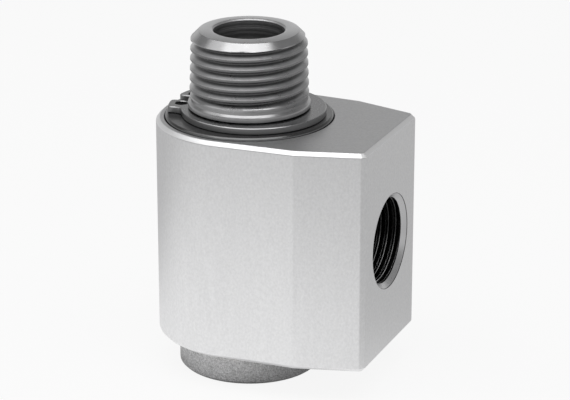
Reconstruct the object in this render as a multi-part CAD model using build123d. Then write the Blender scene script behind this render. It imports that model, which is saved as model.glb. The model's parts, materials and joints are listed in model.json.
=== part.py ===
"""Hydraulic rotary union: a ported housing that turns about a hollow threaded shaft.

Millimetres, +Z up. The origin is on the shaft axis, at the underside of the shaft's head,
and the side port faces +X. Each piece is written to parts/ as one STEP file.
"""

from build123d import *

import math
import os

# Fits and clearances
seat_gap = 0.01  # between a seated piece and its seat
running_gap = 0.02  # radial gap of seals and rollers on the turning shaft
washer_clearance = 0.1  # radial gap between the shaft and a washer's bore
thrust_play = 0.02  # axial play at each sliding face
rim_gap = 0.3  # radial gap round the washers in the ends of the housing
land_clearance = 0.3  # radial gap between the shaft and the housing's lands

# Shaft
shaft_radius = 11.0
head_step = 2.0  # how far the head stands out from the journal
head_height = 6.33
head_chamfer = 0.5
hex_size = 12.0  # across the flats of the tightening socket
hex_depth = 7.0
bore_radius = 6.35
bore_tip_angle = 118.0
bore_sump = 1.5  # depth of the bore below the cross holes
cross_hole_radius = 2.8
cross_hole_count = 4
collar_height = 0.88
thread_radius = 10.5  # mean crest radius of the 1/2-14 taper thread
thread_length = 11.1
lead_in = 1.74  # 45 degree chamfer at the start of the thread
rim_width = 1.4
mouth_depth = 0.6  # countersink at the mouth of the bore
neck_chamfer = shaft_radius - thread_radius

# Retaining ring for the shaft, and the washer under it
ring_thickness = 1.2
ring_groove_depth = 0.5
ring_groove_width = 1.3
ring_back_width = 3.35  # widest, opposite the gap
ring_root_width = 1.65  # narrowest, beside the lugs
lug_reach = 4.1  # from the groove's floor to the outside of a lug
lug_angle = 25.0  # from the middle of the gap to the far side of a lug
lug_rounding = 0.8
lug_foot_rounding = 1.2
ring_gap = 2.8
ring_hole_radius = 1.15
ring_hole_reach = 1.84  # from the groove's floor to the middle of the hole
ring_hole_angle = 14.0
ring_turn = 1.5  # how far the gap is turned from the back of the housing

# Washers in the ends of the housing
washer_reach = 4.1  # how far the washers stand out from the journal
washer_edge = 0.3
support_washer_thickness = 2.5
support_washer_proud = 0.53
slide_washer_thickness = 1.0
shim_thickness = 0.3
lower_washer_thickness = 2.5

# Needle bearings
needle_diameter = 2.0
needle_length = 5.6
needle_count = 18
cage_thickness = 1.0
cage_end = 0.4  # rim of the cage beyond the needles' ends
cage_play = 0.1  # between the cage and each lip of its cup
pocket_gap = 0.03
cup_wall = 1.0
cup_lip = 0.7
cup_lip_reach = 1.3  # how far the lips come in from the raceway
bearing_length = needle_length + 2 * (cage_end + cage_play + cup_lip)

# Seals
dust_seal_width = 1.8
dust_seal_lip = 0.6
seal_ring_thickness = 1.3
o_ring_diameter = 1.68
seal_groove_width = 2.2
seal_ring_width = 2.0

# Housing
housing_wall = 1.35  # round the counterbores
lower_web = 2.25  # between the lower bearing and the lower seal groove
upper_web = 1.0
groove_land = 0.8  # between a seal groove and the chamber
chamber_width = 6.0
chamber_depth = 2.0
port_radius = 8.53  # major radius of the 3/8-18 taper thread at its mouth
port_thread_depth = 10.7
port_mouth = 0.17  # chamfer at the mouth of the port
port_floor = 2.54  # between the bearing bores and the bottom of the tapped hole
port_face_wall = 4.17  # from the port to the side of its flat face
side_taper = 0.65  # how far the sides have closed in at the shoulders
shoulder_reach = 12.05  # from the shoulders to the port face
edge_chamfer = 0.73
corner_chamfer = 0.75

# Radii that follow
head_radius = shaft_radius + head_step
groove_floor_radius = shaft_radius - ring_groove_depth
raceway_radius = shaft_radius + needle_diameter
bearing_radius = raceway_radius + cup_wall
seat_radius = bearing_radius + seat_gap
pitch_radius = shaft_radius + needle_diameter / 2
land_radius = shaft_radius + land_clearance
seal_ring_inner = shaft_radius + running_gap
seal_ring_outer = seal_ring_inner + seal_ring_thickness
seal_groove_radius = seal_ring_outer + o_ring_diameter + 2 * seat_gap
washer_bore_radius = shaft_radius + washer_clearance
washer_radius = shaft_radius + washer_reach
counterbore_radius = washer_radius + rim_gap
body_radius = counterbore_radius + housing_wall
rim_radius = thread_radius - lead_in

# Heights that follow, from the head up
body_bottom = head_height + thrust_play
lower_ledge = body_bottom + lower_washer_thickness + seat_gap
lower_seat_top = lower_ledge + dust_seal_width + bearing_length + 2 * seat_gap
lower_groove_bottom = lower_seat_top + lower_web
chamber_bottom = lower_groove_bottom + seal_groove_width + groove_land
port_height = chamber_bottom + chamber_width / 2
chamber_top = chamber_bottom + chamber_width
upper_groove_bottom = chamber_top + groove_land
upper_seat_bottom = upper_groove_bottom + seal_groove_width + upper_web
upper_ledge = upper_seat_bottom + dust_seal_width + bearing_length + 2 * seat_gap
shim_bottom = upper_ledge + seat_gap
slide_washer_bottom = shim_bottom + shim_thickness
support_washer_bottom = slide_washer_bottom + slide_washer_thickness + thrust_play
support_washer_top = support_washer_bottom + support_washer_thickness
body_top = support_washer_top - support_washer_proud
ring_groove_top = support_washer_top + ring_groove_width
neck_bottom = ring_groove_top + collar_height
thread_bottom = neck_bottom + neck_chamfer
thread_top = thread_bottom + thread_length
shaft_top = thread_top + lead_in

# Reach of the port boss
port_bottom = seat_radius + port_floor
port_face = port_bottom + port_thread_depth
shoulder_x = port_face - shoulder_reach
shoulder_half = body_radius - side_taper
face_half = port_radius + port_face_wall


def turned(*points):
    """A solid of revolution about Z from (radius, height) points."""
    profile = make_face(Plane.XZ * Polyline(*points, close=True))
    return revolve(profile, Axis.Z)


def ring(inner, outer, bottom, top):
    """A plain ring about Z."""
    return turned((inner, bottom), (outer, bottom), (outer, top), (inner, top))


def rod(radius, bottom, top):
    """A plain cylinder about Z."""
    return turned((0, bottom), (radius, bottom), (radius, top), (0, top))


def drill(radius, start, end, height):
    """A round drilling along +X at a height."""
    return Pos(start, 0, height) * Rot(0, 90, 0) * rod(radius, 0, end - start)


def housing_outline():
    """Round back, nearly parallel sides, then flats that close in on the port face."""
    shoulder = math.hypot(shoulder_x, shoulder_half)
    turn = math.atan2(shoulder_half, shoulder_x) + math.acos(body_radius / shoulder)
    touch = (body_radius * math.cos(turn), body_radius * math.sin(turn))
    back = ThreePointArc(touch, (-body_radius, 0), (touch[0], -touch[1]))
    front = Polyline(
        (touch[0], -touch[1]),
        (shoulder_x, -shoulder_half),
        (port_face, -face_half),
        (port_face, face_half),
        (shoulder_x, shoulder_half),
        touch,
    )
    return make_face([back, *front.edges()])


def housing():
    """The ported body: one through bore stepped for washers, bearings, seals and chamber."""
    body = extrude(housing_outline(), body_top - body_bottom)
    corners = body.edges().filter_by(Axis.Z).group_by(Axis.X)[-1]
    body = chamfer(corners, corner_chamfer)
    rims = body.edges().group_by(Axis.Z)
    body = Pos(0, 0, body_bottom) * chamfer(rims[0] + rims[-1], edge_chamfer)

    body -= rod(land_radius, body_bottom, body_top)
    body -= rod(counterbore_radius, body_bottom, lower_ledge)
    body -= rod(seat_radius, lower_ledge, lower_seat_top)
    body -= rod(seat_radius, upper_seat_bottom, upper_ledge)
    body -= rod(counterbore_radius, upper_ledge, body_top)
    body -= rod(land_radius + chamber_depth, chamber_bottom, chamber_top)
    for bottom in (lower_groove_bottom, upper_groove_bottom):
        body -= rod(seal_groove_radius, bottom, bottom + seal_groove_width)

    body -= drill(port_radius, port_bottom, port_face, port_height)
    body -= drill(chamber_width / 2 - seat_gap, shaft_radius, port_bottom, port_height)
    mouth = turned(
        (0, -port_mouth),
        (port_radius, -port_mouth),
        (port_radius + port_mouth, 0),
        (0, 0),
    )
    return body - Pos(port_face, 0, port_height) * Rot(0, 90, 0) * mouth


def shaft():
    """Head, bearing journal, ring groove, collar and threaded end, bored to the cross holes."""
    body = turned(
        (0, 0),
        (head_radius - head_chamfer, 0),
        (head_radius, head_chamfer),
        (head_radius, head_height),
        (shaft_radius, head_height),
        (shaft_radius, support_washer_top),
        (groove_floor_radius, support_washer_top),
        (groove_floor_radius, ring_groove_top),
        (shaft_radius, ring_groove_top),
        (shaft_radius, neck_bottom),
        (thread_radius, thread_bottom),
        (thread_radius, thread_top),
        (rim_radius, shaft_top),
        (0, shaft_top),
    )
    bore_bottom = port_height - cross_hole_radius - bore_sump
    tip = bore_radius / math.tan(math.radians(bore_tip_angle / 2))
    body -= turned(
        (0, bore_bottom - tip),
        (bore_radius, bore_bottom),
        (bore_radius, shaft_top - mouth_depth),
        (rim_radius - rim_width, shaft_top),
        (0, shaft_top),
    )
    for turn in range(cross_hole_count):
        hole = drill(cross_hole_radius, 0, shaft_radius, port_height)
        body -= Rot(0, 0, turn * 360 / cross_hole_count) * hole
    socket = RegularPolygon(hex_size / 2, 6, major_radius=False)
    return body - extrude(socket, hex_depth)


def retaining_ring():
    """External ring, widest opposite its gap, with a drilled lug on each side of the gap."""
    inner = groove_floor_radius + seat_gap
    back = groove_floor_radius + ring_back_width
    root = groove_floor_radius + ring_root_width
    reach = groove_floor_radius + lug_reach
    band = Pos((back - root) / 2, 0) * Circle((back + root) / 2)
    side = 2 * reach
    spread = side * math.tan(math.radians(lug_angle))
    wedge = make_face(Polyline((0, 0), (-side, spread), (-side, -spread), close=True))
    lugs = Circle(reach) & wedge
    far_corners = lugs.vertices().filter_by(lambda v: math.hypot(v.X, v.Y) > back)
    lugs = fillet(far_corners, lug_rounding)
    outline = band + lugs
    feet = outline.vertices().filter_by(lambda v: math.hypot(v.X, v.Y) < (root + back) / 2)
    face = fillet(feet, lug_foot_rounding) - Circle(inner)
    face -= Pos(-side / 2, 0) * Rectangle(side, ring_gap)
    hole_at = groove_floor_radius + ring_hole_reach
    for turn in (180 - ring_hole_angle, 180 + ring_hole_angle):
        face -= Rot(0, 0, turn) * Pos(hole_at, 0) * Circle(ring_hole_radius)
    return Pos(0, 0, support_washer_top) * Rot(0, 0, ring_turn) * extrude(face, ring_thickness)


def support_washer():
    """Steel washer under the retaining ring, standing a little proud of the housing."""
    return turned(
        (washer_bore_radius, support_washer_bottom),
        (washer_radius - washer_edge, support_washer_bottom),
        (washer_radius, support_washer_bottom + washer_edge),
        (washer_radius, support_washer_top - washer_edge),
        (washer_radius - washer_edge, support_washer_top),
        (washer_bore_radius, support_washer_top),
    )


def plain_washer(bottom, thickness):
    """A flat ring in one end of the housing."""
    return ring(washer_bore_radius, washer_radius, bottom, bottom + thickness)


def bearing_cup(bottom):
    """Drawn cup: thin outer ring with a lip turned in at each end."""
    top = bottom + bearing_length
    lip_radius = raceway_radius - cup_lip_reach
    return turned(
        (lip_radius, bottom),
        (bearing_radius, bottom),
        (bearing_radius, top),
        (lip_radius, top),
        (lip_radius, top - cup_lip),
        (raceway_radius, top - cup_lip),
        (raceway_radius, bottom + cup_lip),
        (lip_radius, bottom + cup_lip),
    )


def needle_cage(bottom):
    """Cage ring with one pocket for each needle."""
    middle = bottom + bearing_length / 2
    half = needle_length / 2 + cage_end
    cage = ring(
        pitch_radius - cage_thickness / 2,
        pitch_radius + cage_thickness / 2,
        middle - half,
        middle + half,
    )
    pocket = Box(
        2 * cage_thickness,
        needle_diameter + 2 * pocket_gap,
        needle_length + 2 * pocket_gap,
    )
    for turn in range(needle_count):
        place = Rot(0, 0, turn * 360 / needle_count) * Pos(pitch_radius, 0, middle)
        cage -= place * pocket
    return cage


def needles(bottom):
    """The rollers of one bearing, as separate solids."""
    low = bottom + (bearing_length - needle_length) / 2
    needle = rod(needle_diameter / 2 - running_gap, low, low + needle_length)
    places = [Rot(0, 0, n * 360 / needle_count) * Pos(pitch_radius, 0, 0) for n in range(needle_count)]
    return Compound(children=[place * needle for place in places])


def dust_seal(bottom, lip_up):
    """Rubber ring in the end of a bearing bore, its lip running on the shaft."""
    top = bottom + dust_seal_width
    lip = (top - dust_seal_lip, top) if lip_up else (bottom, bottom + dust_seal_lip)
    body = ring(land_radius + dust_seal_lip, bearing_radius, bottom, top)
    return body + ring(shaft_radius + running_gap, land_radius + dust_seal_lip, *lip)


def seal_ring(groove_bottom):
    """Slippery cap ring that runs on the shaft."""
    side = (seal_groove_width - seal_ring_width) / 2
    top = groove_bottom + seal_groove_width - side
    return ring(seal_ring_inner, seal_ring_outer, groove_bottom + side, top)


def seal_o_ring(groove_bottom):
    """Rubber ring behind a seal ring, pressing it on the shaft: its flats face both seats."""
    centre = seal_ring_outer + seat_gap + o_ring_diameter / 2
    middle = groove_bottom + seal_groove_width / 2
    section = RegularPolygon(o_ring_diameter / 2, 8, major_radius=False)
    place = Pos(centre, middle) * Rot(0, 0, 180 / 8)
    return revolve(Plane.XZ * place * section, Axis.Z)


lower_bearing_bottom = lower_ledge + dust_seal_width + seat_gap
upper_bearing_bottom = upper_seat_bottom + seat_gap
upper_dust_seal_bottom = upper_bearing_bottom + bearing_length

pieces = {
    "housing": housing(),
    "shaft": shaft(),
    "retaining_ring": retaining_ring(),
    "support_washer": support_washer(),
    "slide_washer": plain_washer(slide_washer_bottom, slide_washer_thickness),
    "end_play_shim": plain_washer(shim_bottom, shim_thickness),
    "upper_dust_seal": dust_seal(upper_dust_seal_bottom, lip_up=True),
    "upper_bearing_cup": bearing_cup(upper_bearing_bottom),
    "upper_needle_cage": needle_cage(upper_bearing_bottom),
    "upper_needles": needles(upper_bearing_bottom),
    "upper_seal_ring": seal_ring(upper_groove_bottom),
    "upper_seal_o_ring": seal_o_ring(upper_groove_bottom),
    "lower_seal_ring": seal_ring(lower_groove_bottom),
    "lower_seal_o_ring": seal_o_ring(lower_groove_bottom),
    "lower_needles": needles(lower_bearing_bottom),
    "lower_needle_cage": needle_cage(lower_bearing_bottom),
    "lower_bearing_cup": bearing_cup(lower_bearing_bottom),
    "lower_dust_seal": dust_seal(lower_ledge, lip_up=False),
    "thrust_washer": plain_washer(body_bottom, lower_washer_thickness),
}

os.makedirs("parts", exist_ok=True)
for name, piece in pieces.items():
    export_step(piece, f"parts/{name}.step")

print("body", body_bottom, body_top, "port", port_height, port_bottom, port_face)
print("thread", thread_bottom, thread_top, "top", shaft_top, "radius", body_radius)
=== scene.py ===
"""Hydraulic rotary union: finished surfaces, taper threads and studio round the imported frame.

Sizes are in millimetres, in the frame's own axes: +Z up the shaft, +X out of the side port.
"""

import bpy
import bmesh
import json
import math
from mathutils import Matrix, Vector


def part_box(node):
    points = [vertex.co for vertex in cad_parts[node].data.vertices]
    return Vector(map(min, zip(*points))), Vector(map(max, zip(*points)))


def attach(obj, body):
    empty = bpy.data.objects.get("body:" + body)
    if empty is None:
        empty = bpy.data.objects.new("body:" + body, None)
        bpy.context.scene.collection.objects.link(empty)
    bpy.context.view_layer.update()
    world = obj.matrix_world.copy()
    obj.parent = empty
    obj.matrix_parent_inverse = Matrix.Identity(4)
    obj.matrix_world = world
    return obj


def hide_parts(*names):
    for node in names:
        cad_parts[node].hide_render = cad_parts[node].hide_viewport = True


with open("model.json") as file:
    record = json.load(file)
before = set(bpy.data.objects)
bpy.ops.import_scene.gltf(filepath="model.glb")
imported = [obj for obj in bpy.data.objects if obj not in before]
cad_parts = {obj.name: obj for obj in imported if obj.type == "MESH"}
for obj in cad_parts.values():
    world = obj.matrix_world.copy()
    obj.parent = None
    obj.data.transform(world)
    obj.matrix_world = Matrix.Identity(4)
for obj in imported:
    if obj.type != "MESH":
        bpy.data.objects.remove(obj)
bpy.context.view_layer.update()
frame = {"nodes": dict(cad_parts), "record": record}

MM = 0.001


def span(node):
    """Lowest and highest corner of a CAD node, in millimetres."""
    low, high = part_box(node)
    return Vector(low) / MM, Vector(high) / MM


# ---- Sizes ------------------------------------------------------------------

housing_low, housing_high = span("housing")
shaft_low, shaft_high = span("shaft")
ring_low, ring_high = span("retaining_ring")
washer_low, washer_high = span("support_washer")

seat_gap = 0.01  # between a seated piece and its seat
thrust_play = 0.02  # between the shaft's head and the housing

# Meshes
overshoot = 1.0  # how far a cutter reaches past what it cuts
rounding_steps = 3
bend_steps = 6  # in the ring's wider roundings
most_cut = 0.45  # of an edge's length, for the rounding of a corner
weld = 2e-5
sliver = 1e-5
shaft_columns = 360
hole_columns = 192
small_columns = 48
back_steps = 144
band_steps = 72
lug_steps = 10
crease = 40  # degrees; the surface is smooth over edges that turn less
washer_crease = 50

# Shaft
head_radius = shaft_high.x
head_height = housing_low.z - thrust_play
head_chamfer = 0.5
journal_radius = 11.0
ring_groove_depth = 0.5
ring_groove_play = 0.1  # above the ring
ring_groove_top = ring_high.z + ring_groove_play
collar_height = 0.9
collar_top = ring_groove_top + collar_height
collar_chamfer = 0.45
collar_break = 0.18  # chamfer of the collar's lower edge
bore_radius = 6.35
bore_tip_angle = 118.0
bore_sump = 1.5  # depth of the bore below the cross holes
rim_outer_radius = 8.76
rim_crown = 0.19  # how far the rim's outer edge lies below its inner edge
thread_stop = 0.1  # between the rim's outer edge and the end of the threaded band
mouth_width = 0.3
mouth_depth = 0.25
cross_hole_radius = 2.8
cross_hole_reach = 12.0
cross_hole_turns = (0, 90)
port_height = 26.93
bore_bottom = port_height - cross_hole_radius - bore_sump
bore_tip = bore_radius / math.tan(math.radians(bore_tip_angle / 2))
hex_size = 12.0
hex_depth = 7.0
hex_corner = hex_size / 2 / math.cos(math.radians(30))

# Roundings of the shaft's edges
shaft_edge = 0.1
groove_edge = 0.04
collar_edge = 0.2
rim_edge = 0.08
rim_inner_edge = 0.15
mouth_edge = 0.12

# Male taper thread, 1/2-14
male_pitch = 25.4 / 14
male_depth = 1.22
male_root_half = 0.05  # half-widths of the flat root and crest, as shares of the pitch
male_crest_half = 0.09
male_flank_rows = (0.12, 0.2, 0.28, 0.35)  # rows of vertices between them
male_root_height = 51.92  # a root's middle, on the side at male_root_turn
male_root_turn = math.radians(-67)
male_crest_radius = 10.68  # at male_root_height
taper = 1 / 32  # of a radius, along the axis
run_out = (50.7, 51.7)  # where the thread fades into the plain neck
run_in = (61.6, 62.1)  # where its first turn fades into the lead-in chamfer
crest_lean = 0.3  # the normal of a crest rises or falls less; these faces get painted shade
under_lean = -0.6  # the normal of a lower flank falls more; these faces get a painted highlight

# Female taper thread, 3/8-18
port_pitch = 25.4 / 18
port_depth = 0.68
port_major_radius = 8.5  # at the port face
port_mouth_radius = 8.7
port_root_half = 0.06
port_crest_half = 0.2
port_flank_rows = (0.12, 0.18, 0.24)
port_end = 16.55
port_start = housing_high.x - 0.4  # a root's place along the port, at the bottom of the hole
port_crest_edge = (0.275, 0.325)  # the crest's edges, which get a painted highlight, as shares of the pitch
port_highlight_reach = 0.38  # how far the inner one, with its painted highlight, reaches on to the crest
port_lip = 0.1  # the countersink's outer line of painted shade
# where the countersink meets the crests, along the port
port_cone = housing_high.x - (port_mouth_radius - port_major_radius + port_depth) / (1 - taper)
port_run_in = 0.5  # how soon the thread is full depth behind the countersink
port_plain_end = 0.4  # the plain end of the tapped hole
port_run_out = 1.6  # how soon the thread is full depth from there
pilot_radius = 2.99
pilot_edge = 0.1
pilot_overlap = 0.5  # how far the drilling goes on into the bore
pilot_reach = 6.0  # more than the drilling's length

# Housing
body_radius = -housing_low.x
side_taper = 0.65
shoulder_reach = 12.05
port_face_half = 12.7
corner_chamfer = 0.75
edge_chamfer = 0.73
edge_rounding = 0.14  # of every corner that the chamfers leave
crisp_turn = 12  # degrees; edges that turn more are rounded
bore_edge = 0.1
counterbore_radius = 15.25
land_radius = 11.3
seat_radius = 14.01
seal_side_gap = 0.1
chamber_radius = 13.3
chamber_half = 3.0

# Retaining ring
ring_inner = 10.51
ring_back = 13.85
ring_root = 12.15
ring_upper_edge = 0.13
ring_lower_edge = 0.14
lug_radius = 14.6
lug_half_angle = math.radians(25)
lug_foot_rounding = 1.4
lug_corner_rounding = 0.7
gap_outer_rounding = 0.5
gap_inner_rounding = 0.3
ring_gap_half = 1.4
ring_hole_radius = 1.15
ring_hole_edge = 0.08
ring_hole_reach = 12.34
ring_hole_angle = math.radians(14)
ring_turn = math.radians(1.5)
ring_spacing = 0.02  # least distance between two points of its outline
wall_lean = 0.5  # the normal of an upright wall rises or falls less; these walls get painted shade

washer_bore = 11.1
washer_chamfer = 0.3
washer_edge = 0.08
washer_slants = (0.2, 0.95)  # heights of the normals of its chamfers, which get painted shade

# The table's painted glow, which the metal sees: a painted pool of light in front of the object
# and a painted shadow under it
floor_half = 3.0  # metres
floor_tone = 0.86
floor_seen = 0.89  # share of plain white in the table that the camera sees
floor_mirrored = 0.9  # share of the glow in the table that the metal sees
pool_centre = (-25, -52, 0)
pool_reach = (25, 125)
pool_bright = 1.2
pool_dim = 0.62
footprint_centre = (5, 0, 0)
footprint_reach = (21, 15)
footprint_fade = (0.85, 1.25)  # shares of the reach
footprint_dim = 0.2

# The studio in reflections: (height from 0 at the horizon to 1 overhead, tone)
studio_tones = ((0.0, 0.8), (0.2, 0.68), (0.36, 0.305), (0.8, 0.26), (1.0, 0.28))

# Camera: place and clipping in metres, lens and sensor in millimetres
camera_place = (0.16985, -0.38487, 0.18288)
camera_right = (0.9205, 0.3907, 0.0)
camera_forward = (-0.3675, 0.8657, -0.3398)
camera_lens = 155.8
camera_sensor = 36
camera_shift = (0.0039, -0.0007)
camera_clip = (0.01, 20)

# Material slots. Slot 0 is a piece's own finish.
# The housing's slots: painted shade in the port, and painted highlights on the long chamfers and
# on the port's crest edges.
PORT_SHADE, EDGE_HIGHLIGHT, MACHINED, TAP_HIGHLIGHT = 1, 2, 3, 4  # of the housing
# The shaft's slots: painted shade on the crests, in the ring groove and on the collar, painted
# highlights on the lower flanks and the faced rim.
TURNED, BLASTED, BORED, CREST_SHADE, UNDER_HIGHLIGHT, GROOVE_SHADE, COLLAR_SHADE, FACED_HIGHLIGHT = range(8)  # of the shaft
# The ring's lower edge and walls get painted shade.
RING_EDGE, RING_SHADE, RING_WALL_SHADE = 1, 2, 3
# The washer's chamfers get painted shade.
WASHER_EDGE_SHADE = 1


# ---- Mesh tools -------------------------------------------------------------


def softened(points, closed=False):
    """The outline with rounded corners. A point is (x, y, how far its rounding cuts back)."""
    count = len(points)
    result = []
    for i, point in enumerate(points):
        corner = Vector(point[:2])
        if not closed and i in (0, count - 1):
            result.append(corner)
            continue
        before = Vector(points[i - 1][:2]) - corner
        after = Vector(points[(i + 1) % count][:2]) - corner
        cut = min(point[2], most_cut * before.length, most_cut * after.length)
        start = corner + before.normalized() * cut
        end = corner + after.normalized() * cut
        for step in range(rounding_steps + 1):
            result.append(bend(start, corner, end, step / rounding_steps))
    return result


def bend(start, corner, end, t):
    """A point of the curve that rounds a corner."""
    return start * (1 - t) ** 2 + corner * 2 * t * (1 - t) + end * t * t


def arc(centre, radius, first, last, steps):
    """Points along an arc in the plane, both ends included."""
    turns = [first + (last - first) * n / steps for n in range(steps + 1)]
    return [(centre[0] + radius * math.cos(t), centre[1] + radius * math.sin(t)) for t in turns]


class Skin:
    """Vertices and faces of a surface of revolution, gathered band by band."""

    def __init__(self, columns):
        self.columns = columns
        self.verts = []
        self.faces = []

    def turn(self, profile, closed=False):
        """Turns a (radius, height) profile about Z."""
        rows = []
        for radius, height in profile:
            rows.append(len(self.verts))
            for column in range(self.columns):
                angle = math.tau * column / self.columns
                self.verts.append((radius * math.cos(angle), radius * math.sin(angle), height))
        pairs = list(zip(rows, rows[1:]))
        if closed:
            pairs.append((rows[-1], rows[0]))
        for low, high in pairs:
            for column in range(self.columns):
                following = (column + 1) % self.columns
                self.faces.append((low + column, low + following, high + following, high + column))

    def screw(self, low, high, pitch, start, phases, radius_at):
        """A threaded band between two heights, whose rows follow the thread.

        phases are the places of the rows within one pitch, from root to root, and
        radius_at(height, phase) gives the surface.
        """
        base = start + pitch * (math.floor((low - start) / pitch) - 1)
        turns = math.ceil((high - base) / pitch) + 1
        per_pitch = len(phases)
        rows = turns * per_pitch + 1
        first = len(self.verts)
        for column in range(self.columns):
            share = column / self.columns
            angle = math.tau * share
            for row in range(rows):
                whole, part = divmod(row, per_pitch)
                height = base + pitch * (share + whole + phases[part])
                height = min(max(height, low), high)
                phase = ((height - start) / pitch - share) % 1.0
                radius = radius_at(height, phase)
                self.verts.append((radius * math.cos(angle), radius * math.sin(angle), height))
        for column in range(self.columns):
            here = first + column * rows
            last_column = column == self.columns - 1
            there = first + per_pitch if last_column else here + rows
            used = rows - 1 - per_pitch if last_column else rows - 1
            for row in range(used):
                self.faces.append((here + row, there + row, there + row + 1, here + row + 1))


def finish_mesh(name, bm, materials, sharp=crease, place=None):
    """Makes the object: welded, outward facing, smooth between its creases, in metres."""
    bmesh.ops.remove_doubles(bm, verts=bm.verts, dist=weld)
    bmesh.ops.dissolve_degenerate(bm, edges=bm.edges, dist=sliver)
    bmesh.ops.recalc_face_normals(bm, faces=bm.faces)
    if place is not None:
        bmesh.ops.transform(bm, matrix=place, verts=bm.verts)
    bmesh.ops.scale(bm, vec=(MM, MM, MM), verts=bm.verts)
    mesh = bpy.data.meshes.new(name)
    bm.to_mesh(mesh)
    bm.free()
    shade(mesh, sharp)
    for material in materials:
        mesh.materials.append(material)
    piece = bpy.data.objects.new(name, mesh)
    bpy.context.scene.collection.objects.link(piece)
    return piece


def shade(mesh, sharp):
    """Smooth, but for the edges that turn by more than an angle in degrees."""
    mesh.polygons.foreach_set("use_smooth", [True] * len(mesh.polygons))
    mesh.set_sharp_from_angle(angle=math.radians(sharp))


def skin_object(name, skin, materials, sharp=crease, place=None):
    """The object of a Skin."""
    mesh = bpy.data.meshes.new(name)
    mesh.from_pydata(skin.verts, [], skin.faces)
    bm = bmesh.new()
    bm.from_mesh(mesh)
    bpy.data.meshes.remove(mesh)
    return finish_mesh(name, bm, materials, sharp, place)


def turned(name, profile, materials, columns=240, sharp=crease, place=None):
    """A solid of revolution from a closed profile. A profile on the axis closes on it."""
    skin = Skin(columns)
    on_axis = profile[0][0] == 0
    skin.turn(profile, closed=not on_axis)
    return skin_object(name, skin, materials, sharp, place)


def prism(outline, low, high):
    """A bmesh of the outline raised between two heights."""
    bm = bmesh.new()
    floor = [bm.verts.new((x, y, low)) for x, y in outline]
    roof = [bm.verts.new((x, y, high)) for x, y in outline]
    bm.faces.new(floor[::-1])
    bm.faces.new(roof)
    for i in range(len(outline)):
        j = (i + 1) % len(outline)
        bm.faces.new((floor[i], floor[j], roof[j], roof[i]))
    bm.normal_update()
    return bm


def level_edges(bm):
    """The rims of a prism."""
    return [e for e in bm.edges if abs(e.verts[0].co.z - e.verts[1].co.z) < 1e-6]


def bevel(bm, edges, width, segments=1, material=-1):
    """Chamfers the edges, or rounds them in several segments."""
    bmesh.ops.bevel(
        bm,
        geom=edges,
        offset=width,
        offset_type="OFFSET",
        segments=segments,
        profile=0.5,
        affect="EDGES",
        material=material,
        clamp_overlap=False,
    )


def crisp_edges(bm, angle):
    """Edges whose faces turn by more than an angle in degrees."""
    limit = math.radians(angle)
    return [e for e in bm.edges if len(e.link_faces) == 2 and e.calc_face_angle(0) > limit]


def carve(piece, *cutters):
    """Cuts the cutters out of the piece, and removes them."""
    for cutter in cutters:
        modifier = piece.modifiers.new("cut", "BOOLEAN")
        modifier.operation = "DIFFERENCE"
        modifier.solver = "EXACT"
        modifier.object = cutter
    graph = bpy.context.evaluated_depsgraph_get()
    result = bpy.data.meshes.new_from_object(piece.evaluated_get(graph))
    piece.modifiers.clear()
    old = piece.data
    piece.data = result
    result.name = old.name
    bpy.data.meshes.remove(old)
    for cutter in cutters:
        used = cutter.data
        bpy.data.objects.remove(cutter)
        bpy.data.meshes.remove(used)
    shade(result, crease)


def mouth(radius, edge, face, side):
    """Where a bore leaves a face: its broken edge, and on outwards. side is -1 or 1, along Z."""
    return [
        (radius, face - side * edge),
        (radius + edge, face),
        (radius + edge + overshoot, face + side * overshoot),
    ]


def both_flanks(half):
    """The rows of a whole pitch, from those between a root and a crest."""
    return [*half, *[1 - phase for phase in half[-2:0:-1]]]


def clamped(share):
    """The share, kept from 0 to 1."""
    return min(max(share, 0), 1)


# ---- Materials --------------------------------------------------------------


def ranged(tree, value, start, end, low, high, kind="LINEAR"):
    """Maps start to end of a value to low to high."""
    node = tree.nodes.new("ShaderNodeMapRange")
    node.interpolation_type = kind
    node.inputs["From Min"].default_value = start
    node.inputs["From Max"].default_value = end
    node.inputs["To Min"].default_value = low
    node.inputs["To Max"].default_value = high
    tree.links.new(value, node.inputs["Value"])
    return node.outputs["Result"]


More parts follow.
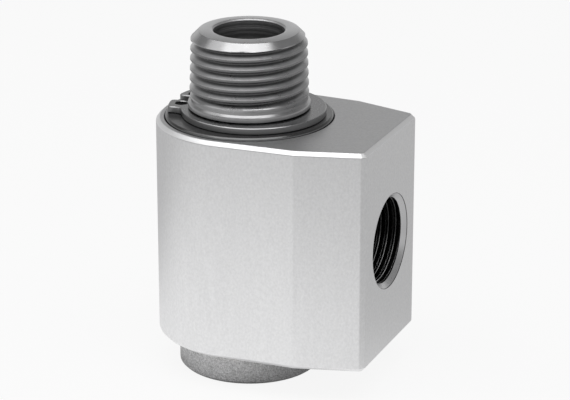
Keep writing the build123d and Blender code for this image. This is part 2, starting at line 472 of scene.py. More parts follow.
class Surface:
    """A Principled material that is built up a node at a time."""

    def __init__(self, name, color, roughness, metallic=1.0, anisotropic=0.0):
        self.material = bpy.data.materials.new(name)
        self.material.use_nodes = True
        self.tree = self.material.node_tree
        self.shader = self.tree.nodes["Principled BSDF"]
        self.base = color
        self.shader.inputs["Base Color"].default_value = (*color, 1)
        self.shader.inputs["Roughness"].default_value = roughness
        self.shader.inputs["Metallic"].default_value = metallic
        if anisotropic:
            self.shader.inputs["Anisotropic"].default_value = anisotropic
            self.shader.inputs["Anisotropic Rotation"].default_value = 0.25
            tangent = self.node("ShaderNodeTangent")
            tangent.direction_type = "RADIAL"
            tangent.axis = "Z"
            self.link(tangent.outputs[0], self.shader.inputs["Tangent"])
        self.coords = self.node("ShaderNodeTexCoord").outputs["Object"]

    def node(self, kind):
        return self.tree.nodes.new(kind)

    def link(self, source, target):
        self.tree.links.new(source, target)

    def noise(self, scale, stretch=(1, 1, 1), detail=3.0, roughness=0.6):
        """A 0 to 1 noise; scale is in features per metre, stretch multiplies it by axis."""
        mapping = self.node("ShaderNodeMapping")
        mapping.inputs["Scale"].default_value = stretch
        self.link(self.coords, mapping.inputs["Vector"])
        noise = self.node("ShaderNodeTexNoise")
        noise.inputs["Scale"].default_value = scale
        noise.inputs["Detail"].default_value = detail
        noise.inputs["Roughness"].default_value = roughness
        self.link(mapping.outputs[0], noise.inputs["Vector"])
        return noise.outputs["Fac"]

    def split(self):
        """X, Y and Z of the place on the surface."""
        split = self.node("ShaderNodeSeparateXYZ")
        self.link(self.coords, split.inputs[0])
        return split.outputs["X"], split.outputs["Y"], split.outputs["Z"]

    def away(self):
        """The distance from the axis."""
        x, y, _ = self.split()
        squares = self.maths("ADD", self.maths("MULTIPLY", x, x), self.maths("MULTIPLY", y, y))
        return self.maths("SQRT", squares)

    def ring_noise(self, scale, along):
        """Noise that is the same all round the axis: turning marks. along keeps some height."""
        height = self.split()[2]
        noise = self.node("ShaderNodeTexNoise")
        noise.noise_dimensions = "1D"
        noise.inputs["Scale"].default_value = scale
        noise.inputs["Detail"].default_value = 4.0
        place = self.maths("ADD", self.away(), self.maths("MULTIPLY", height, -along))
        self.link(place, noise.inputs["W"])
        return noise.outputs["Fac"]

    def maths(self, operation, first, second=None):
        """One Math node. first and second are sockets or numbers."""
        node = self.node("ShaderNodeMath")
        node.operation = operation
        for slot, value in zip(node.inputs, (first, second)):
            if isinstance(value, (int, float)):
                slot.default_value = value
            elif value is not None:
                self.link(value, slot)
        return node.outputs[0]

    def spread(self, noise, low, high):
        """Maps the middle of a noise to a range."""
        return ranged(self.tree, noise, 0.3, 0.7, low, high)

    def thread_depth(self):
        """How deep a point lies in the male thread: 0 at the crests, 1 at the roots."""
        height = self.split()[2]
        at_zero = (male_crest_radius + male_root_height * taper) * MM
        crest = self.maths("SUBTRACT", at_zero, self.maths("MULTIPLY", height, taper))
        lead = self.maths("SUBTRACT", (rim_outer_radius + shaft_high.z) * MM, height)
        surface = self.maths("MINIMUM", crest, lead)
        under = self.maths("SUBTRACT", surface, self.away())
        depth = self.maths("DIVIDE", under, male_depth * MM)
        thread_start = (run_out[0] + 0.1) * MM
        thread_end = (shaft_high.z - rim_crown - 0.08) * MM
        above = self.maths("GREATER_THAN", height, thread_start)
        below = self.maths("LESS_THAN", height, thread_end)
        return self.maths("MULTIPLY", depth, self.maths("MULTIPLY", above, below))

    def base_color(self):
        """What colours the surface so far."""
        return self.shader.inputs["Base Color"].links[0].from_socket

    def paint_shade(self, depth, start, end, left):
        """Painted shade: darkens the base colour from start to end of a depth, down to a share
        that is left.
        """
        mix = self.node("ShaderNodeMix")
        mix.data_type = "RGBA"
        mix.blend_type = "MULTIPLY"
        self.link(self.base_color(), mix.inputs["A"])
        mix.inputs["B"].default_value = (left, left, left, 1)
        factor = ranged(self.tree, depth, start, end, 0.0, 1.0, "SMOOTHSTEP")
        self.link(factor, mix.inputs["Factor"])
        self.link(mix.outputs["Result"], self.shader.inputs["Base Color"])

    def paint_highlight(self, depth, start, end, bright):
        """Painted highlight: brightens the base colour by a factor where a depth is under end,
        fully under start.
        """
        scale = self.node("ShaderNodeVectorMath")
        scale.operation = "SCALE"
        self.link(self.base_color(), scale.inputs[0])
        factor = ranged(self.tree, depth, start, end, bright, 1.0, "SMOOTHSTEP")
        self.link(factor, scale.inputs["Scale"])
        self.link(scale.outputs[0], self.shader.inputs["Base Color"])

    def tint(self, noise, dark, light):
        """The base colour varied from dark to light by a noise."""
        mix = self.node("ShaderNodeMix")
        mix.data_type = "RGBA"
        mix.inputs["A"].default_value = (*[c * dark for c in self.base], 1)
        mix.inputs["B"].default_value = (*[min(1, c * light) for c in self.base], 1)
        self.link(self.spread(noise, 0, 1), mix.inputs["Factor"])
        self.link(mix.outputs["Result"], self.shader.inputs["Base Color"])

    def rough(self, noise, low, high):
        """The roughness varied from low to high by a noise."""
        self.link(self.spread(noise, low, high), self.shader.inputs["Roughness"])

    def bumps(self, *layers):
        """layers are (noise, depth in metres), each on top of the one before."""
        normal = None
        for noise, depth in layers:
            bump = self.node("ShaderNodeBump")
            bump.inputs["Strength"].default_value = 1.0
            bump.inputs["Distance"].default_value = depth
            self.link(noise, bump.inputs["Height"])
            if normal is not None:
                self.link(normal, bump.inputs["Normal"])
            normal = bump.outputs["Normal"]
        self.link(normal, self.shader.inputs["Normal"])


def ground_steel():
    """The housing: satin steel, finely ground along the shaft's axis."""
    s = Surface("housing_steel_ground", (0.74, 0.74, 0.745), 0.4)
    grain = s.noise(2600, (1, 1, 0.7), 4)
    streaks = s.noise(1100, (1, 1, 0.05), 4)
    s.tint(grain, 0.93, 1.05)
    s.rough(streaks, 0.38, 0.44)
    s.bumps((streaks, 2e-6), (grain, 1.2e-5))
    return s.material


def edge_highlight_steel():
    """The housing's long chamfers: duller than its faces, and a brighter tone, a painted
    highlight.
    """
    s = Surface("housing_steel_edge_highlight", (0.93, 0.93, 0.935), 0.5)
    s.rough(s.noise(1800), 0.46, 0.54)
    s.bumps((s.noise(2600), 5e-6))
    return s.material


def machined_steel():
    """The housing's bored walls and the port's countersink."""
    s = Surface("housing_steel_machined", (0.62, 0.62, 0.626), 0.3)
    s.rough(s.noise(1500), 0.26, 0.36)
    s.bumps((s.noise(4000), 3e-6))
    return s.material


def turned_steel(name, tone):
    """The shaft: turned steel, its marks running round, with painted shade in the thread's roots
    and a painted highlight near its crests.
    """
    s = Surface(name, (tone, tone, tone * 1.01), 0.3, anisotropic=0.6)
    marks = s.ring_noise(6000, along=0.7)
    clouds = s.noise(400)
    s.tint(clouds, 0.93, 1.05)
    depth = s.thread_depth()
    # painted shade in the thread's roots, where the turns shade each other
    s.paint_shade(depth, 0.35, 0.8, 0.28)
    # painted highlight near the thread's crests; off the thread nothing changes
    off_thread = s.maths("LESS_THAN", depth, 0.001)
    s.paint_highlight(s.maths("ADD", depth, off_thread), 0.02, 0.3, 1.25)
    s.rough(clouds, 0.26, 0.36)
    s.bumps((marks, 4e-6))
    return s.material


def blasted_steel():
    """The shaft's head: grit-blasted, with a rough even grain."""
    s = Surface("shaft_steel_blasted", (0.52, 0.52, 0.525), 0.5)
    pits = s.noise(3400, detail=4, roughness=0.7)
    s.tint(pits, 0.5, 1.4)
    s.rough(s.noise(1500), 0.42, 0.58)
    s.bumps((pits, 1.6e-4))
    return s.material


def bore_steel():
    """Inside of the shaft: drilled, oily and dark, with turning rings."""
    s = Surface("shaft_steel_bored", (0.46, 0.46, 0.465), 0.4)
    marks = s.ring_noise(1500, along=1.0)
    s.tint(marks, 0.6, 1.2)
    s.bumps((marks, 6e-5))
    return s.material


def crest_shade_steel():
    """The male thread's crests, darker than the flanks: painted shade."""
    s = Surface("shaft_steel_crest_shade", (0.24, 0.24, 0.243), 0.34)
    s.rough(s.noise(2000), 0.28, 0.4)
    s.bumps((s.noise(4000), 4e-6))
    return s.material


def under_highlight_steel():
    """The thread's lower flanks, which mirror the flank below them, in a lighter tone: a painted
    reflection.
    """
    s = Surface("shaft_steel_under_highlight", (0.66, 0.66, 0.665), 0.28)
    s.tint(s.noise(1200), 0.85, 1.1)
    s.bumps((s.noise(4000), 3e-6))
    return s.material


def painted_shade_steel():
    """Near-black steel, painted shade: inside the side port, in the shaft's ring groove, on the
    ring's lower edge and on the countersink's outer line.
    """
    s = Surface("steel_painted_shade", (0.10, 0.10, 0.102), 0.22)
    s.rough(s.noise(1500), 0.16, 0.3)
    s.bumps((s.noise(4000), 3e-6))
    return s.material


def tap_highlight_steel():
    """The edges of the port thread's crests, light: a painted highlight, with painted shade over
    the upper part.
    """
    s = Surface("housing_steel_tap_highlight", (0.8, 0.8, 0.805), 0.5)
    s.tint(s.noise(500), 0.5, 1.2)
    # painted shade towards the top of the port
    fade_start = (port_height - 4) * MM
    fade_end = (port_height - 1) * MM
    s.paint_shade(s.split()[2], fade_start, fade_end, 0.16)
    s.bumps((s.noise(4000), 3e-6))
    return s.material


def spring_steel():
    """The retaining ring's faces: phosphated spring steel, faintly brushed."""
    s = Surface("spring_steel_phosphated", (0.38, 0.38, 0.384), 0.24)
    grain = s.noise(3500, detail=4)
    s.tint(grain, 0.85, 1.12)
    s.rough(grain, 0.2, 0.28)
    s.bumps((grain, 5e-6))
    return s.material


def stamped_wall_shade():
    """The ring's stamped walls, duller than its faces, and darker: painted shade."""
    s = Surface("spring_steel_stamped_shade", (0.22, 0.22, 0.222), 0.34)
    s.rough(s.noise(2500), 0.28, 0.4)
    s.bumps((s.noise(4000), 4e-6))
    return s.material


def worn_edge():
    """The ring's stamped edges, tumbled bright."""
    s = Surface("spring_steel_edge", (0.32, 0.32, 0.324), 0.3)
    s.rough(s.noise(2500), 0.24, 0.36)
    s.bumps((s.noise(5000), 3e-6))
    return s.material


def washer_steel(name, tone):
    """Support washer: ground flat, its marks running round."""
    s = Surface(name, (tone, tone, tone * 1.01), 0.24, anisotropic=0.4)
    marks = s.ring_noise(7000, along=0.7)
    s.tint(s.noise(600), 0.9, 1.06)
    s.bumps((marks, 5e-6))
    return s.material


def bearing_steel():
    """Needles and their drawn cups."""
    s = Surface("bearing_steel_polished", (0.72, 0.72, 0.73), 0.16)
    s.rough(s.noise(900), 0.12, 0.2)
    s.bumps((s.noise(4000), 1e-6))
    return s.material


def bearing_bronze():
    """The washers that take the thrust."""
    s = Surface("bearing_bronze_machined", (0.62, 0.43, 0.22), 0.34)
    s.tint(s.noise(700), 0.88, 1.06)
    s.bumps((s.ring_noise(5000, along=0.7), 5e-6))
    return s.material


def cage_polymer():
    """The needles' moulded cages."""
    s = Surface("cage_polymer_moulded", (0.05, 0.05, 0.055), 0.45, metallic=0.0)
    s.rough(s.noise(2500), 0.4, 0.55)
    s.bumps((s.noise(3500), 6e-6))
    return s.material


def seal_polymer():
    """The cap rings that seal on the shaft."""
    s = Surface("seal_polymer_filled", (0.16, 0.10, 0.05), 0.4, metallic=0.0)
    s.tint(s.noise(1800), 0.8, 1.15)
    s.bumps((s.ring_noise(4000, along=0.7), 4e-6))
    return s.material


def seal_rubber():
    """O-rings and dust seals."""
    s = Surface("seal_rubber_nitrile", (0.015, 0.015, 0.016), 0.5, metallic=0.0)
    s.rough(s.noise(2000), 0.42, 0.6)
    s.bumps((s.noise(3000), 5e-6))
    return s.material


housing_skin = ground_steel()
edge_highlight_skin = edge_highlight_steel()
machined_skin = machined_steel()
painted_shade_skin = painted_shade_steel()
tap_highlight_skin = tap_highlight_steel()
crest_shade_skin = crest_shade_steel()
under_highlight_skin = under_highlight_steel()
shaft_skin = turned_steel("shaft_steel_turned", 0.47)
# A darker copy for the collar and the neck: painted shade.
collar_shade_skin = turned_steel("shaft_steel_collar_shade", 0.38)
# A lighter copy for the faced rim: a painted highlight.
rim_highlight_skin = turned_steel("shaft_steel_faced_highlight", 0.74)
head_skin = blasted_steel()
bore_skin = bore_steel()
ring_skin = spring_steel()
ring_wall_shade_skin = stamped_wall_shade()
ring_edge_skin = worn_edge()
washer_skin = washer_steel("washer_steel_ground", 0.26)
# A darker copy for the washer's chamfers: painted shade.
washer_edge_shade_skin = washer_steel("washer_steel_edge_shade", 0.12)

cad_skins = {
    "bearing_steel": bearing_steel(),
    "bearing_bronze": bearing_bronze(),
    "cage_polymer": cage_polymer(),
    "seal_polymer": seal_polymer(),
    "seal_rubber": seal_rubber(),
    "washer_steel": washer_skin,
}


# ---- Housing ----------------------------------------------------------------


def housing_outline():
    """Round back, nearly parallel sides, then flats that close in on the port face."""
    shoulder_x = housing_high.x - shoulder_reach
    shoulder_half = body_radius - side_taper
    reach = math.hypot(shoulder_x, shoulder_half)
    touch = math.atan2(shoulder_half, shoulder_x) + math.acos(body_radius / reach)
    back = arc((0, 0), body_radius, touch, math.tau - touch, back_steps)
    lean = math.atan2(shoulder_half - port_face_half, shoulder_reach)
    cut_x = housing_high.x - corner_chamfer * math.cos(lean)
    cut_y = port_face_half + corner_chamfer * math.sin(lean)
    front = [
        (shoulder_x, -shoulder_half),
        (cut_x, -cut_y),
        (housing_high.x, -port_face_half + corner_chamfer),
        (housing_high.x, port_face_half - corner_chamfer),
        (cut_x, cut_y),
        (shoulder_x, shoulder_half),
    ]
    return back + front


def seal_groove(ring_name):
    """The groove round a seal ring and its O-ring, as points of the bore's profile."""
    low, high = span(ring_name)
    bottom = low.z - seal_side_gap
    top = high.z + seal_side_gap
    floor = span("lower_seal_o_ring")[1].x + seat_gap
    return [(land_radius, bottom), (floor, bottom), (floor, top), (land_radius, top)]


def bore_cutter():
    """The stepped bore through the housing, a little longer at both ends."""
    low, high = housing_low.z, housing_high.z
    lower_ledge = span("thrust_washer")[1].z + seat_gap
    lower_seat = span("lower_bearing_cup")[1].z + seat_gap
    upper_seat = span("upper_bearing_cup")[0].z - seat_gap
    upper_ledge = span("end_play_shim")[0].z - seat_gap
    profile = [
        (0, low - overshoot),
        *mouth(counterbore_radius, bore_edge, low, -1)[::-1],
        (counterbore_radius, lower_ledge),
        (seat_radius, lower_ledge),
        (seat_radius, lower_seat),
        (land_radius, lower_seat),
        *seal_groove("lower_seal_ring"),
        (land_radius, port_height - chamber_half),
        (chamber_radius, port_height - chamber_half),
        (chamber_radius, port_height + chamber_half),
        (land_radius, port_height + chamber_half),
        *seal_groove("upper_seal_ring"),
        (land_radius, upper_seat),
        (seat_radius, upper_seat),
        (seat_radius, upper_ledge),
        (counterbore_radius, upper_ledge),
        *mouth(counterbore_radius, bore_edge, high, 1),
        (0, high + overshoot),
    ]
    return turned("bore_cutter", profile, [machined_skin], hole_columns)


def port_radius_at(height, phase):
    """The tapped port's wall. Heights run along +X."""
    inside = housing_high.x - height
    major = port_major_radius - inside * taper
    root = min(phase, 1 - phase)
    wall = clamped((root - port_root_half) / (0.5 - port_root_half - port_crest_half))
    fade_out = clamped((height - port_end - port_plain_end) / port_run_out)
    fade_in = clamped((port_cone - height) / port_run_in)
    return major - port_depth * (1 - (1 - wall) * fade_out * fade_in)


def port_cutter():
    """The tapped hole with its countersink, and the drilling on to the chamber."""
    skin = Skin(hole_columns)
    face = housing_high.x
    half = [0, port_root_half, *port_flank_rows, *port_crest_edge, port_highlight_reach, 0.5]
    rows = both_flanks(half)
    skin.screw(port_end, port_cone, port_pitch, port_start, rows, port_radius_at)
    countersink = [
        (port_mouth_radius - face + port_cone, port_cone),
        *mouth(port_mouth_radius - port_lip, port_lip, face, 1),
        (0, face + overshoot),
    ]
    skin.turn(countersink)
    start = land_radius - pilot_overlap
    drilling = [
        (0, start),
        (pilot_radius, start),
        (pilot_radius, port_end - pilot_edge),
        (pilot_radius + pilot_edge, port_end),
        (port_major_radius - port_depth - (face - port_end) * taper, port_end),
    ]
    skin.turn(drilling)
    lift = Matrix.Translation((0, 0, port_height))
    lay = Matrix.Rotation(math.radians(90), 4, "Y")
    return skin_object("port_cutter", skin, [painted_shade_skin], place=lift @ lay)


def port_skin_at(place):
    """The material slot of a face in the port, or None outside it: painted shade inside, a painted
    highlight on the crests' edges.
    """
    high = place.z - port_height
    across = math.hypot(place.y, high)
    inside = port_end - pilot_reach < place.x < housing_high.x - 0.01
    if across > port_mouth_radius or not inside:
        return None
    if place.x < port_end:
        return PORT_SHADE if across < pilot_radius + 2 * pilot_edge else None
    # painted shade on the countersink's outer line
    if place.x > housing_high.x - port_lip:
        return PORT_SHADE
    if place.x > port_cone:
        return MACHINED
    turn = math.atan2(place.y, -high) / math.tau
    phase = ((place.x - port_start) / port_pitch - turn) % 1.0
    # the crests' edges get the painted highlight
    inner = port_crest_edge[0] < phase < port_highlight_reach
    outer = port_crest_edge[0] < 1 - phase < port_crest_edge[1]
    return TAP_HIGHLIGHT if inner or outer else PORT_SHADE


def make_housing():
    """The block with its chamfers, its bore and its tapped port."""
    bm = prism(housing_outline(), housing_low.z, housing_high.z)
    # the long chamfers get the brighter steel: a painted highlight
    bevel(bm, level_edges(bm), edge_chamfer, material=EDGE_HIGHLIGHT)
    bevel(bm, crisp_edges(bm, crisp_turn), edge_rounding, rounding_steps)
    skins = [housing_skin, painted_shade_skin, edge_highlight_skin, machined_skin, tap_highlight_skin]
    body = finish_mesh("housing_body", bm, skins)
    carve(body, bore_cutter(), port_cutter())
    for face in body.data.polygons:
        skin = port_skin_at(face.center / MM)
        if skin is not None:
            face.material_index = skin
    weigh(body)
    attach(body, "housing")
    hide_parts("housing")


def weigh(piece):
    """Keeps flat faces flat where soft edges meet them."""
    modifier = piece.modifiers.new("weighted", "WEIGHTED_NORMAL")
    modifier.keep_sharp = True


# ---- Shaft ------------------------------------------------------------------


def shaft_radius_at(height, phase):
    """The male thread with its run-out and its lead-in chamfer."""
    crest = male_crest_radius - (height - male_root_height) * taper
    root = min(phase, 1 - phase)
    flank = 0.5 - male_root_half - male_crest_half
    cut = 1 - clamped((root - male_root_half) / flank)
    fade = clamped((height - run_out[0]) / (run_out[1] - run_out[0]))
    start = clamped((run_in[1] - height) / (run_in[1] - run_in[0]))
    neck = journal_radius - collar_chamfer
    radius = crest - male_depth * cut * fade * start
    radius = min(radius, neck + (crest - neck) * fade)
    lead = rim_outer_radius + (shaft_high.z - height)
    return min(radius, lead)


def shaft_skin_at(place, lean):
    """The material slot of a face of the shaft. lean is its normal's height."""
    away = math.hypot(place.x, place.y)
    in_bore = place.z > hex_depth and away < bore_radius + mouth_width - 0.05
    in_socket = 0.01 < place.z < hex_depth + 0.1 and away < hex_corner + 0.05
    if in_bore or in_socket:
        return BORED
    if place.z < head_height - 0.1:
        return BLASTED
    # painted shade in the ring groove and on the collar's lower chamfer
    if ring_high.z < place.z < ring_groove_top + collar_break:
        return GROOVE_SHADE
    # the rim gets the lighter copy: a painted highlight
    if place.z > shaft_high.z - rim_crown:
        return FACED_HIGHLIGHT
    # the collar and the neck get the darker copy: painted shade
    if place.z < run_out[1]:
        return COLLAR_SHADE
    crest = male_crest_radius - (place.z - male_root_height) * taper
    # crests get painted shade, lower flanks a painted highlight
    if abs(lean) < crest_lean and away > crest - male_depth / 4:
        return CREST_SHADE
    return UNDER_HIGHLIGHT if lean < under_lean else TURNED


def cross_cutter(turn):
    """One drilling right across the shaft, turned about its axis by an angle in degrees."""
    profile = [
        (0, -cross_hole_reach),
        (cross_hole_radius, -cross_hole_reach),
        (cross_hole_radius, cross_hole_reach),
        (0, cross_hole_reach),
    ]
    place = Matrix.Translation((0, 0, port_height))
    place = place @ Matrix.Rotation(math.radians(turn), 4, "Z")
    place = place @ Matrix.Rotation(math.radians(90), 4, "Y")
    return turned(f"cross_cutter_{turn}", profile, [bore_skin], small_columns, place=place)


def socket_cutter():
    """The hexagon that the shaft is tightened by."""
    turns = [math.radians(60 * n + 30) for n in range(6)]
    outline = [(hex_corner * math.cos(turn), hex_corner * math.sin(turn)) for turn in turns]
    return finish_mesh("socket_cutter", prism(outline, -overshoot, hex_depth), [bore_skin])


def make_shaft():
    """Head, journal, ring groove, collar, taper thread and bore, as one skin."""
    groove_radius = journal_radius - ring_groove_depth
    neck = collar_top + collar_chamfer
    rim = shaft_high.z - rim_crown - thread_stop
    below = softened([
        (0, 0, 0),
        (head_radius - head_chamfer, 0, shaft_edge),
        (head_radius, head_chamfer, shaft_edge),
        (head_radius, head_height, shaft_edge),
        (journal_radius, head_height, shaft_edge),
        (journal_radius, washer_high.z, shaft_edge),
        (groove_radius, washer_high.z, shaft_edge),
        (groove_radius, ring_groove_top, shaft_edge),
        (journal_radius - collar_break, ring_groove_top, groove_edge),
        (journal_radius, ring_groove_top + collar_break, groove_edge),
        (journal_radius, collar_top, collar_edge),
        (journal_radius - collar_chamfer, neck, 0),
    ])
    above = softened([
        (rim_outer_radius + rim_crown + thread_stop, rim, 0),
        (rim_outer_radius + rim_crown, shaft_high.z - rim_crown, rim_edge),
        (bore_radius + mouth_width, shaft_high.z, rim_inner_edge),
        (bore_radius, shaft_high.z - mouth_depth, mouth_edge),
        (bore_radius, bore_bottom, rim_edge),
        (0, bore_bottom - bore_tip, 0),
    ])
    skin = Skin(shaft_columns)
    skin.turn(below)
    rows = both_flanks([0, male_root_half, *male_flank_rows, 0.5 - male_crest_half, 0.5])
    start = male_root_height - male_pitch * male_root_turn / math.tau
    skin.screw(neck, rim, male_pitch, start, rows, shaft_radius_at)
    skin.turn(above)
    skins = [shaft_skin, head_skin, bore_skin, crest_shade_skin, under_highlight_skin, painted_shade_skin]
    skins += [collar_shade_skin, rim_highlight_skin]
    body = skin_object("shaft_body", skin, skins)
    carve(body, *[cross_cutter(turn) for turn in cross_hole_turns], socket_cutter())
    for face in body.data.polygons:
        face.material_index = shaft_skin_at(face.center / MM, face.normal.z)
    weigh(body)
    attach(body, "shaft")
    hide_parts("shaft")


# ---- Retaining ring and washer ----------------------------------------------


def ring_outline():
    """Half of an open ring, widest opposite its gap, with a lug beside it.

    The second result says how far the rounding of a point cuts back.
    """
    offset = (ring_back - ring_root) / 2
    radius = (ring_back + ring_root) / 2
    wedge = math.pi - lug_half_angle
    across = offset * math.cos(wedge)
    reach = across + math.sqrt(across * across - offset * offset + radius * radius)
    foot = (reach * math.cos(wedge), reach * math.sin(wedge))
    foot_turn = math.atan2(foot[1], foot[0] - offset)
    lug_turn = math.pi - math.asin(ring_gap_half / lug_radius)
    inner_turn = math.pi - math.asin(ring_gap_half / ring_inner)
    band = arc((offset, 0), radius, 0, foot_turn, band_steps)
    lug = arc((0, 0), lug_radius, wedge, lug_turn, lug_steps)
    bore = arc((0, 0), ring_inner, inner_turn, 0, band_steps)
    half = band + lug + bore
    cuts = {
        len(band) - 1: lug_foot_rounding,
        len(band): lug_corner_rounding,
        len(band) + len(lug) - 1: gap_outer_rounding,
        len(band) + len(lug): gap_inner_rounding,
    }
    return half, cuts


def spaced(points, least):
    """Drops points that crowd the one before."""
    kept = [points[0]]
    for point in points[1:]:
        if (point - kept[-1]).length > least:
            kept.append(point)
    return kept


def rounded_half(half, cuts):
    """Rounds the ring's corners over several of its short edges."""
    points = [Vector(p) for p in half]
    for i in sorted(cuts, reverse=True):
        corner = points[i]
        start = i
        while start > 0 and (points[start] - corner).length < cuts[i]:
            start -= 1
        end = i
        while end < len(points) - 1 and (points[end] - corner).length < cuts[i]:
            end += 1
        first, last = points[start], points[end]
        steps = range(1, bend_steps)
        points[start + 1:end] = [bend(first, corner, last, step / bend_steps) for step in steps]
    return points


def lug_cutter(side):
    """The hole in one lug, with its edges broken. side is -1 or 1."""
    angle = math.pi + side * ring_hole_angle + ring_turn
    centre = (ring_hole_reach * math.cos(angle), ring_hole_reach * math.sin(angle), 0)
    profile = [
        (0, ring_low.z - overshoot),
        *mouth(ring_hole_radius, ring_hole_edge, ring_low.z, -1)[::-1],
        *mouth(ring_hole_radius, ring_hole_edge, ring_high.z, 1),
        (0, ring_high.z + overshoot),
    ]
    stand = Matrix.Translation(centre)
    return turned(f"lug_cutter_{side}", profile, [ring_skin], small_columns, place=stand)


def make_ring():
    """The retaining ring, stamped, with its edges tumbled."""
    half = rounded_half(*ring_outline())
    other = [Vector((p.x, -p.y)) for p in half[::-1]]
    turn = Matrix.Rotation(ring_turn, 2)
    outline = spaced([turn @ p for p in half[:-1] + other[:-1]], ring_spacing)
    bm = prism(outline, ring_low.z, ring_high.z)
    for face in bm.faces:
        # the walls get the darker steel: painted shade
        if abs(face.normal.z) < wall_lean:
            face.material_index = RING_WALL_SHADE
    middle = (ring_low.z + ring_high.z) / 2
    rims = level_edges(bm)
    bottom = [e for e in rims if e.verts[0].co.z < middle]
    top = [e for e in rims if e.verts[0].co.z > middle]
    # painted shade: the ring's lower edge gets the near-black steel, for the dark line where it
    # sits on the washer
    bevel(bm, bottom, ring_lower_edge, material=RING_SHADE)
    bevel(bm, top, ring_upper_edge, material=RING_EDGE)
    skins = [ring_skin, ring_edge_skin, painted_shade_skin, ring_wall_shade_skin]
    ring = finish_mesh("ring_body", bm, skins)
    carve(ring, lug_cutter(-1), lug_cutter(1))
    weigh(ring)
    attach(ring, "shaft")
    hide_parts("retaining_ring")


def make_washer():
    """The support washer under the ring."""
    low, high = washer_low.z, washer_high.z
    outer = washer_high.x
    corners = [
        (washer_bore, low),
        (outer - washer_chamfer, low),
        (outer, low + washer_chamfer),
        (outer, high - washer_chamfer),
        (outer - washer_chamfer, high),
        (washer_bore, high),
    ]
    profile = softened([(*corner, washer_edge) for corner in corners], closed=True)
    skins = [washer_skin, washer_edge_shade_skin]
    washer = turned("washer_body", profile, skins, sharp=washer_crease)
    # the chamfers get the darker copy: painted shade
    for face in washer.data.polygons:
        if washer_slants[0] < abs(face.normal.z) < washer_slants[1]:
            face.material_index = WASHER_EDGE_SHADE
    weigh(washer)
    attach(washer, "shaft")
    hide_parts("support_washer")


make_housing()
make_shaft()
make_ring()
make_washer()

for entry in frame["record"]["subparts"]:
    skin = cad_skins.get(entry["material_slot"])
    node = frame["nodes"].get(entry["node"])
    if skin is None or node is None:
        continue
    for place in node.material_slots:
        place.material = skin


# ---- Studio -----------------------------------------------------------------


def ray_mix(tree, ray, plain, shown, share):
    """A shader that is `plain`, and `shown` by a share for one kind of ray."""
    path = tree.nodes.new("ShaderNodeLightPath")
    amount = tree.nodes.new("ShaderNodeMath")
    amount.operation = "MULTIPLY"
    amount.inputs[1].default_value = share
    tree.links.new(path.outputs[ray], amount.inputs[0])
    mix = tree.nodes.new("ShaderNodeMixShader")
    tree.links.new(amount.outputs[0], mix.inputs[0])
    tree.links.new(plain, mix.inputs[1])
    tree.links.new(shown, mix.inputs[2])
    return mix.outputs[0]


def glow_pool(tree):
    """The table as metal sees it, a painted glow: a painted pool of light in front of the object,
    a painted shadow under it.
    """
    coords = tree.nodes.new("ShaderNodeTexCoord").outputs["Object"]
    away = tree.nodes.new("ShaderNodeVectorMath")
    away.operation = "DISTANCE"
    away.inputs[1].default_value = Vector(pool_centre) * MM
    tree.links.new(coords, away.inputs[0])
    distance = away.outputs["Value"]
    near, far = pool_reach[0] * MM, pool_reach[1] * MM
    pool = ranged(tree, distance, near, far, pool_bright, pool_dim, "SMOOTHERSTEP")
    under = tree.nodes.new("ShaderNodeMapping")
    under.vector_type = "TEXTURE"
    under.inputs["Location"].default_value = Vector(footprint_centre) * MM
    under.inputs["Scale"].default_value = (*[reach * MM for reach in footprint_reach], 1)
    tree.links.new(coords, under.inputs["Vector"])
    length = tree.nodes.new("ShaderNodeVectorMath")
    length.operation = "LENGTH"
    tree.links.new(under.outputs[0], length.inputs[0])
    share = length.outputs["Value"]
    shadow = ranged(tree, share, *footprint_fade, footprint_dim, 1.0, "SMOOTHSTEP")
    strength = tree.nodes.new("ShaderNodeMath")
    strength.operation = "MULTIPLY"
    tree.links.new(pool, strength.inputs[0])
    tree.links.new(shadow, strength.inputs[1])
    glow = tree.nodes.new("ShaderNodeEmission")
    tree.links.new(strength.outputs[0], glow.inputs["Strength"])
    return glow.outputs[0]


def make_floor():
    """A pale table that hides nothing from below."""
    bm = bmesh.new()
    bmesh.ops.create_grid(bm, x_segments=1, y_segments=1, size=floor_half)
    mesh = bpy.data.meshes.new("floor")
    bm.to_mesh(mesh)
    bm.free()
    floor = bpy.data.objects.new("floor", mesh)
    floor.location.z = shaft_low.z * MM
    bpy.context.scene.collection.objects.link(floor)
    material = bpy.data.materials.new("floor_pale")
    material.use_nodes = True
    tree = material.node_tree
    shader = tree.nodes["Principled BSDF"]
    shader.inputs["Base Color"].default_value = (floor_tone, floor_tone, floor_tone, 1)
    shader.inputs["Roughness"].default_value = 0.9
    shader.inputs["Specular IOR Level"].default_value = 0.1
    glow = tree.nodes.new("ShaderNodeEmission")
    output = tree.nodes["Material Output"]
    lit = ray_mix(tree, "Is Glossy Ray", shader.outputs[0], glow_pool(tree), floor_mirrored)
    shown = ray_mix(tree, "Is Camera Ray", lit, glow.outputs[0], floor_seen)
    side = tree.nodes.new("ShaderNodeNewGeometry")
    clear = tree.nodes.new("ShaderNodeBsdfTransparent")
    one_way = tree.nodes.new("ShaderNodeMixShader")
    tree.links.new(side.outputs["Backfacing"], one_way.inputs[0])
    tree.links.new(shown, one_way.inputs[1])
    tree.links.new(clear.outputs[0], one_way.inputs[2])
    tree.links.new(one_way.outputs[0], output.inputs["Surface"])
    mesh.materials.append(material)


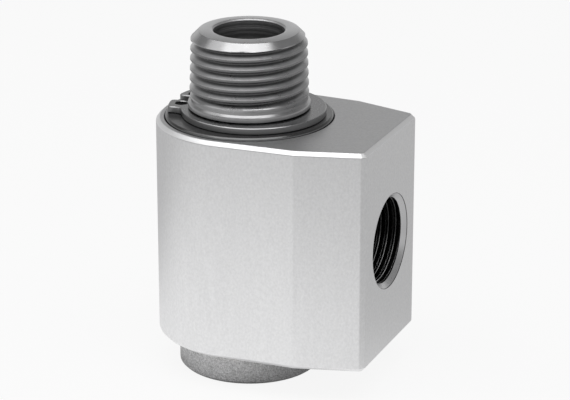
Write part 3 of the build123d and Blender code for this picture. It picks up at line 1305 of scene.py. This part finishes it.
def make_world():
    """White behind everything the camera sees; a studio with a paler horizon in reflections."""
    world = bpy.data.worlds.new("studio")
    bpy.context.scene.world = world
    world.use_nodes = True
    tree = world.node_tree
    tree.nodes.clear()
    coords = tree.nodes.new("ShaderNodeTexCoord")
    split = tree.nodes.new("ShaderNodeSeparateXYZ")
    tree.links.new(coords.outputs["Generated"], split.inputs[0])
    ramp = tree.nodes.new("ShaderNodeValToRGB")
    tree.links.new(split.outputs["Z"], ramp.inputs[0])
    points = ramp.color_ramp.elements
    while len(points) < len(studio_tones):
        points.new(0.5)
    for point, (place, tone) in zip(points, studio_tones):
        point.position = place
        point.color = (tone, tone, tone, 1)
    studio = tree.nodes.new("ShaderNodeBackground")
    tree.links.new(ramp.outputs[0], studio.inputs["Color"])
    white = tree.nodes.new("ShaderNodeBackground")
    white.inputs["Color"].default_value = (1, 1, 1, 1)
    shown = ray_mix(tree, "Is Camera Ray", studio.outputs[0], white.outputs[0], 1.0)
    output = tree.nodes.new("ShaderNodeOutputWorld")
    tree.links.new(shown, output.inputs["Surface"])


def soft_light(name, turn, height, distance, size, power):
    """A soft rectangular lamp that faces the object.

    turn and height are its direction in degrees, distance and size are in metres.
    """
    centre = Vector((0, 0, shaft_high.z / 2 * MM))
    a, e = math.radians(turn), math.radians(height)
    away = Vector((math.cos(a) * math.cos(e), math.sin(a) * math.cos(e), math.sin(e)))
    data = bpy.data.lights.new(name, "AREA")
    data.shape = "RECTANGLE"
    data.size, data.size_y = size
    data.energy = power
    lamp = bpy.data.objects.new(name, data)
    lamp.location = centre + away * distance
    lamp.rotation_mode = "QUATERNION"
    lamp.rotation_quaternion = away.to_track_quat("Z", "Y")
    bpy.context.scene.collection.objects.link(lamp)


def make_camera():
    """The photograph's viewpoint and framing."""
    data = bpy.data.cameras.new("camera")
    data.sensor_width = camera_sensor
    data.lens = camera_lens
    data.shift_x, data.shift_y = camera_shift
    data.clip_start, data.clip_end = camera_clip
    camera = bpy.data.objects.new("camera", data)
    right = Vector(camera_right).normalized()
    forward = Vector(camera_forward).normalized()
    up = right.cross(forward).normalized()
    turn = Matrix((right, up, -forward)).transposed()
    camera.matrix_world = Matrix.Translation(camera_place) @ turn.to_4x4()
    bpy.context.scene.collection.objects.link(camera)
    bpy.context.scene.camera = camera


make_floor()
make_world()
soft_light("key", turn=-71, height=70, distance=0.6, size=(0.76, 0.34), power=1.9)
soft_light("side", turn=-160, height=50, distance=0.6, size=(0.34, 0.3), power=0.33)
make_camera()
bpy.context.scene.view_settings.view_transform = "Standard"
